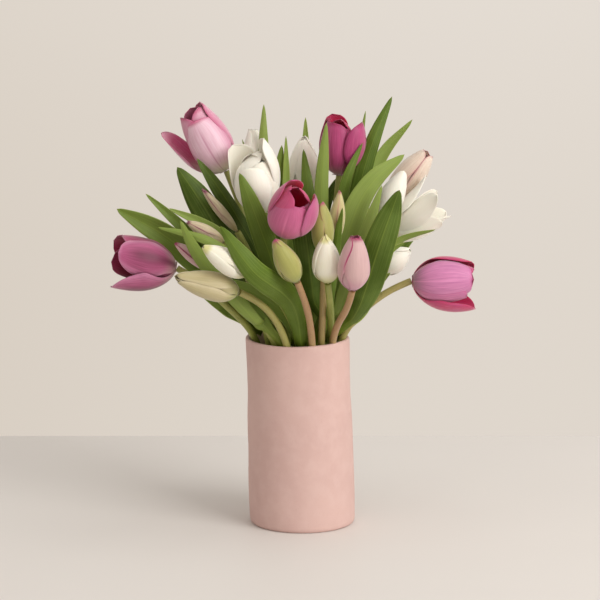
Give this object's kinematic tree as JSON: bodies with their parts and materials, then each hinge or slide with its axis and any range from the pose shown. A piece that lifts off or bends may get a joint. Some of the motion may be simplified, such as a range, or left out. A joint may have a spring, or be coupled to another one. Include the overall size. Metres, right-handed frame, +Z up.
{
  "type": "tulips in a vase",
  "caption": "Bunch of cut tulips, open blooms, buds and long leaves, standing loose in a round straight-sided ceramic vase.",
  "frame": {"origin": "centre of the vase's flat foot, on the surface that it stands on", "axes": "+Z up through the vase and the flowers, -Y towards the front of the bunch, +X to the right of the bunch"},
  "size_m": [0.349, 0.2292, 0.42],
  "materials": {
    "clay": "unglazed pale pink ceramic, fine matt grain, hand built",
    "stem": "fresh tulip stem, smooth and waxy, olive green turning pinkish brown under the bloom",
    "leaf": "fresh tulip leaf, waxy, fine parallel veins, paler blue-green bloom on the face",
    "petal_pink": "light pink petals, crimson inside, thin, satin, finely veined",
    "petal_rose": "deep pink petals, crimson inside, thin, satin, finely veined",
    "petal_magenta": "magenta petals, dark crimson inside, thin, satin, finely veined",
    "petal_lilac": "lilac-pink petals with pale streaks, crimson inside, thin, satin, finely veined",
    "petal_white": "white translucent petals with greenish folds, thin, satin, finely veined",
    "petal_white_bud": "closed cream-white bud, greenish base, thin, satin, finely veined",
    "petal_cream": "half-open beige petals, thin, satin, finely veined",
    "petal_green_bud": "closed yellow-green bud with a magenta tip, thin, satin, finely veined",
    "petal_blush_bud": "closed pale pink bud with a magenta tip and edge, thin, satin, finely veined",
    "petal_dusk_bud": "closed beige bud striped purple-brown, thin, satin, finely veined",
    "petal_beige": "open beige-pink petals with magenta flecks, thin, satin, finely veined"
  },
  "bodies": {
    "root": {"vase": "clay", "tulip_01_stem": "stem", "tulip_01_bloom": "petal_pink", "tulip_01_leaves": "leaf", "tulip_02_stem": "stem", "tulip_02_bloom": "petal_white", "tulip_02_leaves": "leaf", "tulip_03_stem": "stem", "tulip_03_bloom": "petal_rose", "tulip_03_leaves": "leaf", "tulip_04_stem": "stem", "tulip_04_bloom": "petal_magenta", "tulip_04_leaves": "leaf", "tulip_05_stem": "stem", "tulip_05_bloom": "petal_pink", "tulip_05_leaves": "leaf", "tulip_06_stem": "stem", "tulip_06_bloom": "petal_cream", "tulip_07_stem": "stem", "tulip_07_bloom": "petal_white_bud", "tulip_07_leaves": "leaf", "tulip_08_stem": "stem", "tulip_08_bloom": "petal_green_bud", "tulip_09_stem": "stem", "tulip_09_bloom": "petal_white_bud", "tulip_10_stem": "stem", "tulip_10_bloom": "petal_blush_bud", "tulip_11_stem": "stem", "tulip_11_bloom": "petal_green_bud", "tulip_12_stem": "stem", "tulip_12_bloom": "petal_green_bud", "tulip_12_leaves": "leaf", "tulip_13_stem": "stem", "tulip_13_bloom": "petal_lilac", "tulip_13_leaves": "leaf", "tulip_14_stem": "stem", "tulip_14_bloom": "petal_white", "tulip_14_leaves": "leaf", "tulip_15_stem": "stem", "tulip_15_bloom": "petal_beige", "tulip_15_leaves": "leaf", "tulip_16_stem": "stem", "tulip_16_bloom": "petal_white", "tulip_16_leaves": "leaf", "tulip_17_stem": "stem", "tulip_17_bloom": "petal_white", "tulip_17_leaves": "leaf", "tulip_18_stem": "stem", "tulip_18_bloom": "petal_white", "tulip_19_stem": "stem", "tulip_19_bloom": "petal_green_bud", "tulip_19_leaves": "leaf", "tulip_20_stem": "stem", "tulip_20_bloom": "petal_dusk_bud", "tulip_20_leaves": "leaf", "tulip_21_stem": "stem", "tulip_21_bloom": "petal_dusk_bud", "tulip_22_stem": "stem", "tulip_22_bloom": "petal_white", "tulip_22_leaves": "leaf"}
  },
  "joints": []
}
